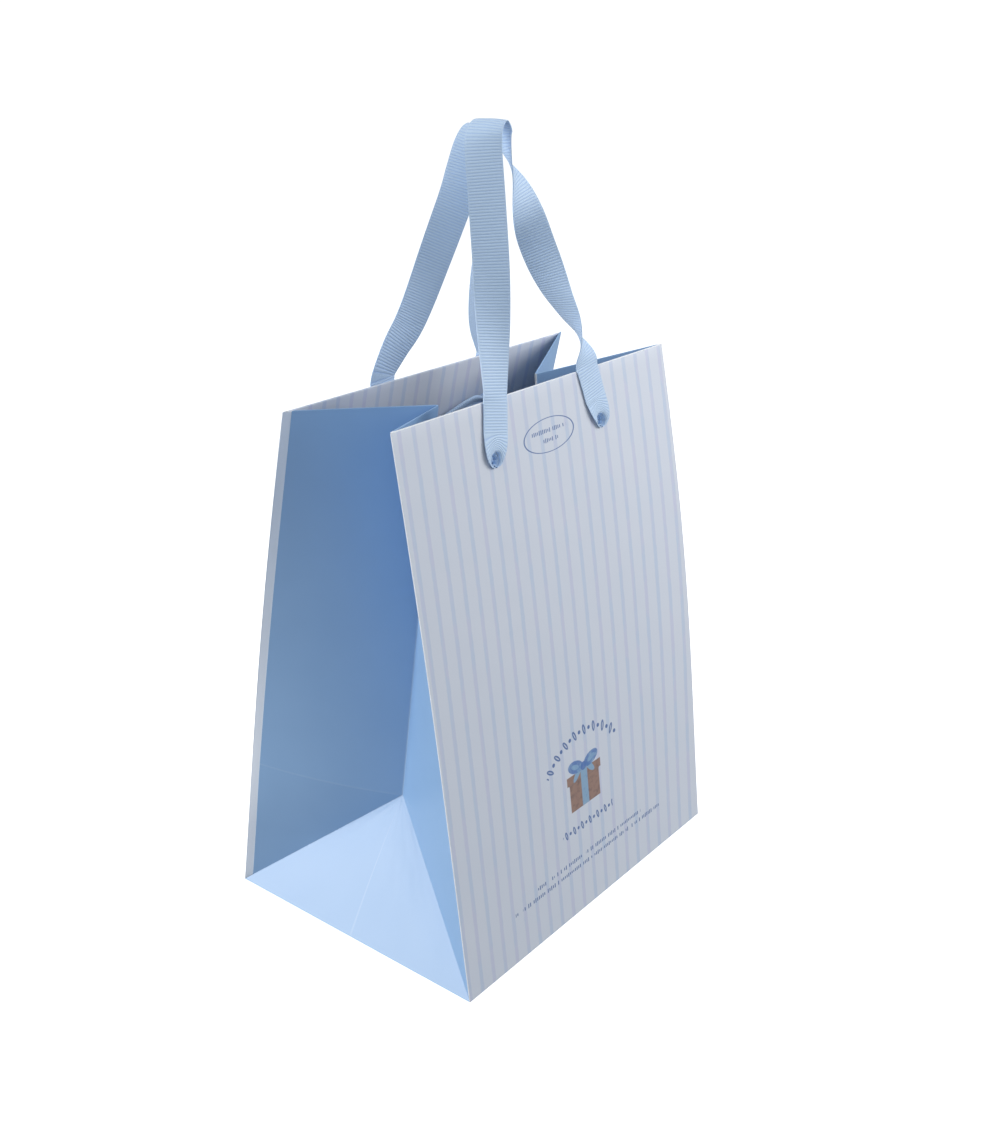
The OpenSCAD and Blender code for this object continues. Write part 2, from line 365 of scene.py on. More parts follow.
def makeStudio():
    scene = bpy.context.scene
    scene.view_settings.view_transform = "Standard"
    data = bpy.data.cameras.new("camera")
    data.lens, data.sensor_width = camera["lens"], studio["sensor"]
    eye = bpy.data.objects.new("camera", data)
    turn, down = math.radians(camera["turn"]), math.radians(camera["down"])
    look = Vector((math.cos(turn) * math.cos(down), math.sin(turn) * math.cos(down), -math.sin(down)))
    eye.location = camera["place"]
    eye.rotation_euler = look.to_track_quat("-Z", "Y").to_euler()
    scene.collection.objects.link(eye)
    scene.camera = eye

    world = bpy.data.worlds.new("sky")
    world.use_nodes = True
    world.node_tree.nodes["Background"].inputs[0].default_value = studio["skyTint"]
    world.node_tree.nodes["Background"].inputs[1].default_value = studio["sky"]
    scene.world = world
    for name in ("key", "top", "fill"):
        lamp(name, *studio[name])

    # a wide pale floor, and a pale wall far off that fills the view above it
    mesh = bmesh.new()
    bmesh.ops.create_grid(mesh, x_segments=16, y_segments=16, size=studio["floorHalf"])
    bmesh.ops.translate(mesh, verts=mesh.verts, vec=(0, 0, -studio["floorDrop"]))
    floor = keep("floor", mesh)
    mesh = bmesh.new()
    radius = studio["wallRadius"]
    bmesh.ops.create_cone(
        mesh, cap_ends=False, segments=64, radius1=radius, radius2=radius, depth=studio["wallHigh"]
    )
    farWall = keep("farWall", mesh)
    finish = Finish("paleFloor", Roughness=0.9)
    wear = finish.cloud(finish.place(), 0.4)
    finish.set(Base_Color=finish.blend(tint(238, 239, 241), tint(234, 235, 238), wear))
    finish.set(Emission_Color=(1, 1, 1, 1), Emission_Strength=studio["floorGlow"])
    for backing in (floor, farWall):
        paint(backing, finish.material)
        backing.visible_diffuse = backing.visible_glossy = False
    farWall.visible_shadow = False


makeStudio()
print("camera and lights set")

# paper finishes

stripes = {
    "paper": tint(228, 231, 240),
    "paperCool": tint(223, 228, 239),
    "stripeBlue": tint(191, 208, 234),
    "stripeLilac": tint(208, 209, 233),
    "pitch": 12.0 * mm,
    "stripe": 3.3 * mm,
    "skew": 0.016,            # the stripes run a little off square
    "spread": 0.52,           # and stand wider towards the right, by this much each metre
    "wander": 1.6 * mm,
    "ragged": 1.0 * mm,
    "softEdge": 0.55 * mm,
    "faint": 0.38,            # the palest a stripe gets, and what the wash adds to that
    "washed": 0.34,
    # the paler colour of the folds: worn print with a painted highlight
    "foldWearAndHighlight": tint(250, 251, 253),
    "foldMarkWide": 0.5 * mm,     # how far from a fold the print is paler, worn and with a painted highlight
    "foldMarkRagged": 0.7 * mm,
}


def grain(finish, flat, base):
    # the tooth of coated paper and the slow waves left by handling
    tooth = finish.cloud(flat, 0.35 * mm, 3.0)
    waves = finish.cloud(flat, 26 * mm, 1.0)
    finish.set(Normal=finish.bump(tooth * 0.25 + waves * 6.0, 0.05 * mm))
    finish.set(Roughness=base + tooth * 0.08 + waves * 0.06)
    return waves


def stripeColour(finish, x, y, flat):
    wander = (finish.cloud(flat, 70 * mm, 1.0, (1, 0.35, 1)) - 0.5) * stripes["wander"]
    along = x - x * x * stripes["spread"] - y * stripes["skew"] + wander
    off, _ = finish.cell(along / stripes["pitch"] + 0.5)
    edge = (finish.cloud(flat, 2.2 * mm, 2.0, (1, 0.5, 1)) - 0.5) * stripes["ragged"]
    gap = finish.size(off * stripes["pitch"]) - stripes["stripe"] / 2 + edge
    mask = 1 - finish.ease(gap, -stripes["softEdge"], stripes["softEdge"])
    wash = finish.cloud(flat, 11 * mm, 2.0, (1, 0.4, 1))
    colour = finish.blend(stripes["stripeBlue"], stripes["stripeLilac"], finish.ease(wash, 0.4, 0.62))
    tone = finish.blend(stripes["paper"], stripes["paperCool"], finish.cloud(flat, 45 * mm))
    return finish.blend(tone, colour, mask * (stripes["faint"] + wash * stripes["washed"]))


def stripedPaper(name, prints=False):
    finish = Finish(name)
    flat = finish.uv()
    x, y, _ = finish.part(flat)
    grain(finish, flat, 0.5)
    colour = stripeColour(finish, x, y, flat)
    if prints:
        colour = printed(finish, colour, x, y, flat)
    # where the sheet is folded at the sides and the top the print turns paler: bare fibre shows, with a
    # painted highlight along the fold
    side = finish.size(x) - (halfWidth - stripes["foldMarkWide"] * 0.9)
    top = stripes["foldMarkWide"] - finish.size(y - bag["height"])
    rough = (finish.cloud(flat, 1.5 * mm) - 0.5) * stripes["foldMarkRagged"]
    foldWearAndHighlight = finish.ease(finish.maths("MAXIMUM", side, top) + rough, -0.2 * mm, 0.3 * mm)
    finish.set(Base_Color=finish.blend(colour, stripes["foldWearAndHighlight"], foldWearAndHighlight))
    return finish.material


gift = {
    "middle": (-2.0 * mm, 85.5 * mm),
    "across": 1.08,
    "tall": 0.86,
    "kraft": tint(160, 122, 103),
    "kraftDark": tint(126, 94, 82),
    "bow": tint(92, 128, 190),
    "bowPale": tint(150, 186, 216),
    "ink": 0.92,              # how far each patch covers what is under it
    "faint": 0.8,
    # middle, across, tall and soft edge of each flat patch
    "box": ((0, -9.5 * mm), 28 * mm, 21 * mm, 0.3 * mm),
    "shade": ((0, 1.2 * mm), 29 * mm, 1.0 * mm, 0.35 * mm),
    "lid": ((0, 4.6 * mm), 32 * mm, 6.6 * mm, 0.3 * mm),
    "band": ((0, -6.2 * mm), 6.2 * mm, 27.6 * mm, 0.25 * mm),
    # place across, place up, across, tall, turn and soft edge of each oval, one to a side
    "tail": (6.0 * mm, 6.6 * mm, 4.2 * mm, 12 * mm, 38, 0.08),
    "loop": (7.2 * mm, 12.6 * mm, 14.5 * mm, 9.4 * mm, 24, 0.05),
    "loopLight": (7.6 * mm, 12.7 * mm, 7.6 * mm, 3.6 * mm, 26, 0.1),
    "knot": ((0, 10.0 * mm), 5.4 * mm, 6.4 * mm, 0, 0.08),
}


def giftPicture(finish, colour, x, y, flat):
    # a small wrapped box with a ribbon and bow, in soft washes
    mx, my = gift["middle"]
    x, y = (x - mx) / gift["across"], (y - my) / gift["tall"]
    wash = finish.cloud(flat, 3.5 * mm, 3.0)
    kraft = finish.blend(gift["kraft"], gift["kraftDark"], finish.ease(wash, 0.45, 0.75))
    blue = finish.blend(gift["bow"], gift["bowPale"], finish.ease(wash, 0.4, 0.8))
    pale = finish.blend(gift["bowPale"], gift["bow"], finish.ease(wash, 0.55, 0.95))

    def lay(ink, mask):
        nonlocal colour
        colour = finish.blend(colour, ink, mask * gift["ink"])

    def onSide(side, name):
        across, up, width, tall, turn, soft = gift[name]
        return finish.inOval(x, y, (side * across, up), width, tall, side * turn, soft)

    lay(kraft, finish.inBox(x, y, *gift["box"]))
    lay(gift["kraftDark"], finish.inBox(x, y, *gift["shade"]) * gift["faint"])
    lay(kraft, finish.inBox(x, y, *gift["lid"]))
    lay(pale, finish.inBox(x, y, *gift["band"]))
    for side in (-1, 1):
        lay(pale, onSide(side, "tail"))
        lay(blue, onSide(side, "loop"))
        lay(gift["bowPale"], onSide(side, "loopLight") * gift["faint"])
    lay(gift["bow"], finish.inOval(x, y, *gift["knot"]))
    return colour


# the plain marks round the picture, placed from the panel's middle and its foot
marks = {
    "ink": tint(88, 118, 172),
    "soft": 0.2 * mm,
    "strokes": 3.0 * mm,      # how tall the fine strokes are
}
arcRow = {
    "centre": (-1.0 * mm, 70 * mm),
    "radius": 47 * mm,
    "half": 0.86,             # how far it runs each way, as an angle
    "lean": 0.02,
    "pitch": 4.9 * mm,
    "tall": 7.2 * mm,
}
shortRow = {
    "up": 56 * mm,
    "shift": 1.5 * mm,
    "from": -27.5 * mm,
    "to": 25 * mm,
    "pitch": 4.1 * mm,
    "tall": 6.0 * mm,
}
fineRows = {
    "pitch": 1.75 * mm,
    # place up, left end, right end and the seed of the strokes
    "rows": [(36.0 * mm, -56 * mm, 55 * mm, 3.0), (30.2 * mm, -78 * mm, 77 * mm, 40.0)],
}
oval = {
    "down": 29.5 * mm,        # from the panel's top to its middle
    "half": (23.2 * mm, 9.6 * mm),
    "line": (0.012, 0.034),
    "pitch": 1.6 * mm,
    # place above the oval's middle, half length and seed
    "rows": [(2.6 * mm, 16.5 * mm, 90.0), (-2.9 * mm, 7.5 * mm, 130.0)],
}


def sprigs(finish, along, aside, pitch, tall):
    # a row of small leaves with a dot between each pair
    off, number = finish.cell(along / pitch)
    odd = finish.size(number - finish.maths("ROUND", number / 2) * 2)
    off = off * pitch
    leaf = finish.inOval(off, aside, (0, 0), tall * 0.4, tall, 16, 0.12)
    vein = finish.inOval(off, aside, (0, 0), tall * 0.12, tall * 0.62, 16, 0.3)
    dot = finish.inOval(off, aside, (0, 0), tall * 0.36, tall * 0.36, 0, 0.2)
    return (leaf - vein * 0.85) * (1 - odd) + dot * odd


def ticks(finish, along, aside, pitch, seed):
    # a fine broken line of short strokes, with no shape of its own
    off, number = finish.cell(along / pitch)
    lot = finish.chance(number + seed)
    size = marks["strokes"] * (0.35 + lot * 0.65)
    gap = finish.maths("MAXIMUM", finish.size(off * pitch) - pitch * 0.24, finish.size(aside) - size / 2)
    return (1 - finish.ease(gap, -0.12 * mm, 0.16 * mm)) * finish.ease(lot, 0.14, 0.2)


def printed(finish, colour, x, y, flat):
    soft = marks["soft"]

    def within(value, low, high):
        return finish.ease(value, low - soft, low + soft) * (1 - finish.ease(value, high - soft, high + soft))

    # an arc of sprigs over the picture and a short row under it
    (cx, cy), radius = arcRow["centre"], arcRow["radius"]
    dx, dy = x - cx, y - cy
    angle = finish.maths("ARCTAN2", dx, dy)
    reach = finish.maths("SQRT", dx * dx + dy * dy)
    arc = sprigs(finish, angle * radius, reach - radius, arcRow["pitch"], arcRow["tall"])
    arc = arc * finish.ease(arcRow["half"] - finish.size(angle + arcRow["lean"]), -0.004, 0.004)
    row = sprigs(
        finish, x + shortRow["shift"], y - shortRow["up"], shortRow["pitch"], shortRow["tall"]
    ) * within(x, shortRow["from"], shortRow["to"])
    inked = arc + row
    for up, low, high, seed in fineRows["rows"]:
        inked = inked + ticks(finish, x, y - up, fineRows["pitch"], seed) * within(x, low, high)

    # the oval near the top, with two rows of strokes in it
    middle = bag["height"] - oval["down"]
    ox, oy = x / oval["half"][0], (y - middle) / oval["half"][1]
    ring = finish.maths("SQRT", ox * ox + oy * oy)
    inked = inked + (1 - finish.ease(finish.size(ring - 1), *oval["line"]))
    for up, half, seed in oval["rows"]:
        inked = inked + ticks(finish, x, y - (middle + up), oval["pitch"], seed) * within(x, -half, half)
    fade = 0.82 + finish.cloud(flat, 1.2 * mm, 2.0) * 0.25
    colour = finish.blend(colour, marks["ink"], finish.maths("MINIMUM", inked * fade, 1.0))
    return giftPicture(finish, colour, x, y, flat)


paperBlue = {
    "low": tint(141, 179, 220),
    "high": tint(146, 183, 223),
    # the paler colour of the folds and creases: worn ink with a painted highlight
    "wear": tint(208, 223, 240),
    "covers": 0.8,            # how far the paler fold colour covers the blue
    "centre": 0.45,           # wear and painted highlight at the centre crease, at the back half's crease and on the foot
    "across": 0.16,
    "foot": 0.22,
}


def bluePaper(name, creases=()):
    finish = Finish(name, **{"Specular IOR Level": 1.0, "IOR": 1.55})
    flat = finish.uv()
    x, y, _ = finish.part(flat)
    across, up, _ = finish.part(finish.uv("share"))
    waves = grain(finish, flat, 0.36)
    tone = finish.blend(paperBlue["low"], paperBlue["high"], waves)
    # fold lines are painted paler: they lose a little ink and carry a painted highlight
    rough = (finish.cloud(flat, 1.2 * mm) - 0.5) * (0.5 * mm)
    foldWearAndHighlight = 1 - finish.ease(finish.size(x) + rough, 0.15 * mm, 0.6 * mm)
    for crease in creases:
        foldWearAndHighlight = finish.maths("MAXIMUM", foldWearAndHighlight, crease(finish, x, y, across, up, rough))
    finish.set(Base_Color=finish.blend(tone, paperBlue["wear"], foldWearAndHighlight * paperBlue["covers"]))
    return finish.material


# paler lines along the creases: worn ink with a painted highlight
def atCentre(finish, x, y, across, up, rough):
    return finish.ease(across, 0.988, 0.998) * paperBlue["centre"]


def acrossBack(finish, x, y, across, up, rough):
    gap = finish.size(y - halfDepth) + rough
    return (1 - finish.ease(gap, 0.1 * mm, 0.9 * mm)) * paperBlue["across"]


def footMiddle(finish, x, y, across, up, rough):
    return (1 - finish.ease(finish.size(across - 0.5), 0.001, 0.005)) * paperBlue["foot"]


def plainPaper(name, colour, shade, useUv=True):
    finish = Finish(name)
    flat = finish.uv() if useUv else finish.place()
    waves = grain(finish, flat, 0.62)
    fibre = finish.cloud(flat, 1.1 * mm, 3.0, (1, 0.4, 1))
    finish.set(Base_Color=finish.blend(colour, shade, fibre * 0.6 + waves * 0.4))
    return finish.material


frontPaper = stripedPaper("frontStripes", True)
backPaper = stripedPaper("backStripes")
gussetPaper = {
    "front": bluePaper("gussetBlueFront", [atCentre]),
    "back": bluePaper("gussetBlueBack", [atCentre, acrossBack]),
}
footPaper = bluePaper("footBlue", [footMiddle])
insidePaper = plainPaper("barePaperInside", tint(238, 240, 245), tint(230, 233, 240))
cutEdge = plainPaper("cutPaperEdge", tint(248, 249, 251), tint(240, 242, 246))
flapPaper = plainPaper("glueFlapPaper", tint(240, 244, 251), tint(231, 237, 248))
baseBlue = plainPaper("baseBluePaper", paperBlue["low"], paperBlue["high"], False)
whiteCard = plainPaper("whiteCard", tint(228, 228, 224), tint(212, 212, 207), False)
print("paper finishes made")


# the striped panels, each one sheet that folds over its card and turns in

panelRows = {"face": 48, "fold": 6, "inside": 10}
panelColumns = 24


def panelProfile(rows):
    # (place up, place out, length so far) down the sheet's profile at each row
    radius, height = bag["stack"] / 2, bag["height"]
    straight = height - radius
    heights = [straight * k / rows["face"] for k in range(rows["face"] + 1)]
    profile = [(s, 0.0, s) for s in heights]
    for k in range(1, rows["fold"] + 1):
        angle = math.pi * k / rows["fold"]
        profile.append((
            straight + radius * math.sin(angle), radius * (math.cos(angle) - 1), straight + radius * angle
        ))
    for k in range(1, rows["inside"] + 1):
        down = (bag["turnIn"] - radius) * k / rows["inside"]
        profile.append((straight - down, -2 * radius, straight + math.pi * radius + down))
    return profile


def punch(piece, end):
    # cuts both ribbon holes right through
    for side in (-1, 1):
        mesh = bmesh.new()
        radius = bag["holeRadius"]
        bmesh.ops.create_cone(
            mesh, cap_ends=True, segments=48, radius1=radius, radius2=radius, depth=bag["punchDepth"]
        )
        turn = outOf(end).to_track_quat("Z", "X").to_matrix().to_4x4()
        spot = Matrix.Translation(onPanel(end, side * holeAcross(end), holeUp(end), -bag["stack"] / 2))
        bmesh.ops.transform(mesh, matrix=spot @ turn, verts=mesh.verts)
        for face in mesh.faces:
            face.material_index = 2
        punchTool = keep("punch", mesh)
        cut = piece.modifiers.new("hole", "BOOLEAN")
        cut.operation, cut.solver, cut.object = "DIFFERENCE", "EXACT", punchTool
        settle(piece)
        bpy.data.objects.remove(punchTool)


def makePanel(end, paper):
    profile = panelProfile(panelRows)
    rows = len(profile) - 1

    def place(across, up):
        s, out, _ = profile[round(up * rows)]
        half = halfWidth + out * bag["trim"]
        return onPanel(end, mix(-half, half, across), s, out)

    def flat(across, up):
        return mix(-halfWidth, halfWidth, across), profile[round(up * rows)][2]

    piece = bendGrid(end + "_panel_sheet", panelColumns, rows, place, flat, Vector())
    # the turned-in part faces inwards, so the sheet's outside is judged on its lowest face
    first = min(piece.data.polygons, key=lambda p: p.center.z)
    if first.normal.dot(outOf(end)) < 0:
        piece.data.flip_normals()
    paint(piece, paper, insidePaper, cutEdge)
    wall(piece, bag["paper"])
    settle(piece)
    punch(piece, end)
    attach(piece, end + "_panel")
    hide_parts(end + "_panel", end + "_turn_in")


def makeTopCard(end):
    # the stiffening card between the two layers of the panel's top
    def place(across, up):
        s = mix(bag["height"] - bag["turnIn"], bag["height"] - bag["paper"], up)
        x = mix(-halfWidth, halfWidth, across) * bag["cardShare"]
        return onPanel(end, x, s, -bag["paper"] - bag["cardGap"])

    def flat(across, up):
        return across * 2 * halfWidth, up * bag["turnIn"]

    card = bendGrid(end + "_card_strip", panelColumns, 10, place, flat, outOf(end))
    paint(card, insidePaper, insidePaper, cutEdge)
    wall(card, bag["cardThick"])
    settle(card)
    punch(card, end)
    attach(card, end + "_panel")
    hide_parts(end + "_top_card")


makePanel("front", frontPaper)
makePanel("back", backPaper)
makeTopCard("front")
makeTopCard("back")
print("panels made")


# the gussets, each half one sheet from its panel's edge to the centre crease

gusset = {
    # where the left centre crease meets the foot, and where it meets the top edge
    "apex": Vector((footHigh.x, -1.3 * mm, footHigh.z)),
    "top": Vector((-halfWidth + 79.5 * mm, -8.5 * mm, 316.5 * mm)),
    "belly": {"front": 1.5 * mm, "back": 3.5 * mm},
    "faceRows": 66,
    "foldRows": 4,
    "insideRows": 10,
    "foldRadius": 0.4 * mm,
    "trim": 6.0,              # how far the turned-in layer stops short of the corner for its depth
    "paper": 0.3 * mm,
    "break": 4.0 * mm,        # how far the back half stands out where it breaks
    "breakBelow": 50 * mm,
    "breakAbove": 90 * mm,
    "twist": (60 * mm, 365 * mm),    # where up its fold a sheet goes over to its upper plate
    "flapGap": 5 * mm,        # what the left back half leaves bare of the glue flap
}


def creasePoint(side, end, s):
    # the far edge of a gusset half: the diagonal up to the apex, then the centre crease
    flip = Vector((-side, 1, 1))
    apex, top = gusset["apex"] * flip, gusset["top"] * flip
    if s <= halfDepth:
        corner = onPanel(end, side * halfWidth, 0)
        return corner.lerp(apex, max(s, 0) / halfDepth)
    return apex.lerp(top, (s - halfDepth) / (bag["height"] - halfDepth))


def gussetPoint(side, end, share, s, inward=0.0, start=0.0, trimmed=True):
    # share across the half from its panel's edge, s up it, and inward from its printed face
    near = onPanel(end, side * halfWidth, s, -bag["paper"] / 2)
    far = creasePoint(side, end, s)
    width = (far - near).length
    if trimmed:
        start += inward * gusset["trim"]
    share = mix(min(start / max(width, 1e-6), 1), 1, share)
    out = (far - near).cross(Vector((0, 0, 1)))
    if out.length < 1e-9:
        return near
    out = out.normalized()
    if out.x * side < 0:
        out = -out
    upper = min(max((s - halfDepth) / (bag["height"] - halfDepth), 0), 1)
    belly = gusset["belly"][end] * math.sin(math.pi * share) * math.sin(math.pi * upper)
    if end == "back":
        # the sheet breaks outwards along the crease that runs to the back corner
        away = gusset["breakBelow"] if s < halfDepth else gusset["breakAbove"]
        tent = max(0, 1 - abs(s - halfDepth) / away)
        belly += gusset["break"] * tent * 4 * share * (1 - share)
    return near.lerp(far, share) + out * (belly - inward)


def gussetProfile():
    radius, height = gusset["foldRadius"], bag["height"]
    heights = [height * k / gusset["faceRows"] for k in range(gusset["faceRows"] + 1)]
    profile = [(s, 0.0, s) for s in heights]
    for k in range(1, gusset["foldRows"] + 1):
        angle = math.pi * k / gusset["foldRows"]
        profile.append((
            height + radius * math.sin(angle), radius * (1 - math.cos(angle)), height + radius * angle
        ))
    for k in range(1, gusset["insideRows"] + 1):
        down = bag["turnIn"] * k / gusset["insideRows"]
        profile.append((height - down, 2 * radius, height + math.pi * radius + down))
    return profile


def makeGusset(side, end):
    name = ("left_" if side < 0 else "right_") + end + "_gusset"
    profile = gussetProfile()
    rows = len(profile) - 1
    start = gusset["flapGap"] if name == "left_back_gusset" else 0.0

    def place(across, up):
        s, inward, _ = profile[round(up * rows)]
        return gussetPoint(side, end, across, s, inward, start)

    def flat(across, up):
        s, _, length = profile[round(up * rows)]
        near = onPanel(end, side * halfWidth, s)
        width = (creasePoint(side, end, s) - near).length
        return mix(min(start, width), width, across), length

    piece = bendGrid(name + "_sheet", 20, rows, place, flat, Vector())
    lowest = min(piece.data.polygons, key=lambda p: p.center.z if p.area > 1e-8 else 9)
    if lowest.normal.x * side < 0:
        piece.data.flip_normals()
    paint(piece, gussetPaper[end], insidePaper, cutEdge)
    wall(piece, gusset["paper"])
    settle(piece, 6)
    hang(piece, name)
    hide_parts(name + "_lower", name + "_upper", name + "_turn_in")


def hang(piece, name):
    # fixes the sheet's placement into its mesh; the fold on the panel's edge is looked up but not used
    fold = joint(name.replace("gusset", "corner_fold"))
    pivot, axis = Vector(fold["pos_m"]), Vector(fold["axis"])
    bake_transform(piece)


flap = {
    "width": 20 * mm,
    "short": 0.5 * mm,        # how far its ends stop short of the sheet's
    "behind": 0.45 * mm,      # how deep it lies under the gusset, past the step
    "stepFrom": 4 * mm,
    "stepOver": 2 * mm,
}


def makeGlueFlap():
    # the bare flap of the sheet, folded round the back corner and glued behind the gusset
    def place(across, up):
        s = mix(flap["short"], bag["height"] - flap["short"], up)
        near = onPanel("back", -halfWidth, s)
        reach = (creasePoint(-1, "back", s) - near).length
        away = across * flap["width"]
        behind = flap["behind"] * min(max((away - flap["stepFrom"]) / flap["stepOver"], 0), 1)
        share = min(away / max(reach, 1e-6), 1)
        return gussetPoint(-1, "back", share, s, behind, trimmed=False)

    def flat(across, up):
        return across * flap["width"], up * bag["height"]

    piece = bendGrid("glue_flap_sheet", 8, gusset["faceRows"], place, flat, Vector((-1, -0.3, 0)))
    paint(piece, flapPaper, insidePaper, cutEdge)
    wall(piece, gusset["paper"])
    settle(piece, 20)
    hang(piece, "left_back_gusset")
    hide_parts("glue_flap_lower", "glue_flap_upper")


for side in (-1, 1):
    for end in ("front", "back"):
        makeGusset(side, end)
makeGlueFlap()


foot = {"sag": 1.2 * mm, "cells": 24, "patternFrom": 10 * mm, "patternOver": 90 * mm}


def makeFoot(side):
    # the triangle that folds up from the side edge of the base
    name = "left_foot" if side < 0 else "right_foot"
    apex = gusset["apex"] * Vector((-side, 1, 1))
    back = onPanel("back", side * halfWidth, 0)
    front = onPanel("front", side * halfWidth, 0)
    out = (apex - front).cross(back - front).normalized()
    if out.x * side < 0:
        out = -out

    def place(across, up):
        swell = foot["sag"] * math.sin(math.pi * up) * math.sin(math.pi * across)
        return front.lerp(back, across).lerp(apex, up) + out * swell

    def flat(across, up):
        return foot["patternFrom"] + up * foot["patternOver"], across * 2 * halfDepth

    piece = bendGrid(name + "_sheet", foot["cells"], foot["cells"], place, flat, Vector((side, 0, 0.5)))
    paint(piece, footPaper, insidePaper, cutEdge)
    wall(piece, gusset["paper"])
    settle(piece, 20)
    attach(piece, name)
    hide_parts(name)


makeFoot(-1)
makeFoot(1)
for name in ("base_front_flap", "base_back_flap", "base_left_flap", "base_right_flap"):
    paint(frame["nodes"][name], baseBlue)
paint(frame["nodes"]["base_card"], whiteCard)
print("gussets, feet and base made")


# the ribbon handles

ribbon = {
    "width": 20 * mm,
    "thick": 0.45 * mm,
    "rib": 1.6 * mm,
    "selvage": 0.9 * mm,
    "curl": 0.5 * mm,
    "thread": 0.42 * mm,
    "relief": 0.18 * mm,
    # pale goes on the rounded tops of the ribs as a painted highlight; deep goes in the grooves as painted
    # shade and also gives patches of darker tone
    "pale": tint(210, 232, 255),
    "deepToneAndGrooveShade": tint(188, 215, 251),
    "edge": tint(205, 226, 250),
    "rise": 134 * mm,
    "clear": 1 * mm,          # from the bend at the panel's top to the foot of the loop
    "meet": {"front": -17.8 * mm, "back": 3.8 * mm},
    "bendFrom": -9 * mm,      # the loop's bend, from below the bend line to above it
    "bendTo": 12 * mm,
    "cuts": 9,
}

# share of half the hole spacing, share of the way to where the handles meet, share of the rise,
# and the turn of the ribbon's width in degrees
routes = {
    "front": [
        (-0.84, 0.00, 0.00, 0), (-0.77, 0.12, 0.13, -12), (-0.68, 0.27, 0.28, -30),
        (-0.58, 0.45, 0.47, -45), (-0.48, 0.68, 0.71, -51), (-0.39, 0.88, 0.90, -55),
        (-0.30, 0.96, 0.97, -70), (-0.16, 0.99, 1.00, -85), (-0.03, 0.97, 0.96, -105),
        (0.01, 0.92, 0.91, -122), (0.03, 0.85, 0.84, -134), (0.14, 0.71, 0.72, -174),
        (0.26, 0.56, 0.54, -222), (0.36, 0.42, 0.42, -240), (0.50, 0.30, 0.30, -262),
        (0.66, 0.18, 0.19, -285), (0.77, 0.07, 0.09, -320), (0.84, 0.00, 0.00, -360),
    ],
    "back": [
        (-0.93, 0.00, 0.00, 0), (-0.78, 0.10, 0.10, -10), (-0.61, 0.20, 0.19, -18),
        (-0.47, 0.31, 0.30, -24), (-0.32, 0.46, 0.45, -32), (-0.18, 0.60, 0.59, -40),
        (-0.07, 0.73, 0.71, -48), (0.00, 0.82, 0.81, -56), (0.06, 0.93, 0.91, -66),
        (0.14, 0.98, 0.97, -80), (0.24, 1.00, 0.99, -95), (0.35, 0.98, 0.96, -112),
        (0.40, 0.90, 0.87, -125), (0.44, 0.75, 0.73, -140), (0.48, 0.56, 0.55, -155),
        (0.54, 0.36, 0.35, -168), (0.68, 0.15, 0.15, -176), (0.93, 0.00, 0.00, -180),
    ],
}

# between its hole and the panel's top the ribbon draws in to this share of the hole spacing
inset = {"front": 0.84, "back": 0.93}
insetOver = 37 * mm
# the flat part over the panel: up from the hole and out from the printed face
flatEnd = [(14 * mm, 0.9 * mm), (24 * mm, 0.8 * mm), (31 * mm, 0.75 * mm)]
# steps from inside the hole (-1) through its face (0) to the flat ribbon above it (1)
rollSteps = [-1, -0.6, -0.3, 0, 0.05, 0.12, 0.2, 0.3, 0.42, 0.55, 0.7, 0.86]
roll = {
    "radius": 4.5 * mm,
    "close": 0.94,            # how much of a full tube it makes
    "narrow": 0.82,           # its size at the deep end, inside the hole
    "depth": 3.2 * mm,
    "mouth": 0.8 * mm,        # how far out it is at the hole's face
    "stand": 1.0 * mm,
    "swing": (1 * mm, 13.5 * mm),    # above the hole's middle, where it starts and ends its bend
}


def smoothThrough(points, cuts):
    # a smooth curve through every point
    made = []
    for i in range(len(points) - 1):
        a, b, c, d = (points[min(max(i + k, 0), len(points) - 1)] for k in (-1, 0, 1, 2))
        for k in range(cuts):
            t = k / cuts
            made.append(tuple(
                0.5 * (2 * q + (r - p) * t + (2 * p - 5 * q + 4 * r - w) * t * t
                       + (3 * q - p - 3 * r + w) * t * t * t)
                for p, q, r, w in zip(a, b, c, d)
            ))
    return made + [tuple(points[-1])]


def ribbonPath(end):
    # stations along the ribbon between its two rolled ends: x, y, z and turn
    spread, bend = holeAcross(end), Vector(joint(end + "_handle_bend")["pos_m"])
    last = routes[end][-1][3]

    def stub(side, turn):
        made = []
        for up, out in flatEnd:
            x = side * spread * mix(1.0, inset[end], up / insetOver)
            made.append((*onPanel(end, x, holeUp(end) + up, out), turn))
        return made

    low = bend.z + ribbon["clear"]
    loop = [
        (x * spread, mix(bend.y, ribbon["meet"][end], y), low + z * ribbon["rise"], turn)
        for x, y, z, turn in routes[end]
    ]
    stations = stub(-1, 0) + loop + stub(1, last)[::-1]
    return [(Vector(s[:3]), s[3]) for s in smoothThrough(stations, ribbon["cuts"])]


def rolledPoint(end, side, flip, u, step):
    # the flat ribbon closes into a tube that goes in through the hole
    angle = math.pi * u * roll["close"]
    x, y = roll["radius"] * math.sin(angle), roll["radius"] * math.cos(angle)
    if step <= 0:
        narrow = mix(1, roll["narrow"], -step)
        x, y, out = x * narrow, y * narrow, mix(roll["mouth"], -roll["depth"], -step)
    else:
        x = mix(x, u * ribbon["width"] / 2, 1 - (1 - step) ** 2)
        y = mix(y, flatEnd[0][0], step ** 1.6)
        stand = roll["stand"] * math.sin(math.pi * step) * (0.4 + 0.6 * u * u)
        out = mix(roll["mouth"], flatEnd[0][1], step) + stand
    middle = side * holeAcross(end) * mix(1.0, inset[end], max(y, 0) / insetOver)
    return onPanel(end, middle + flip * x, holeUp(end) + y, out)


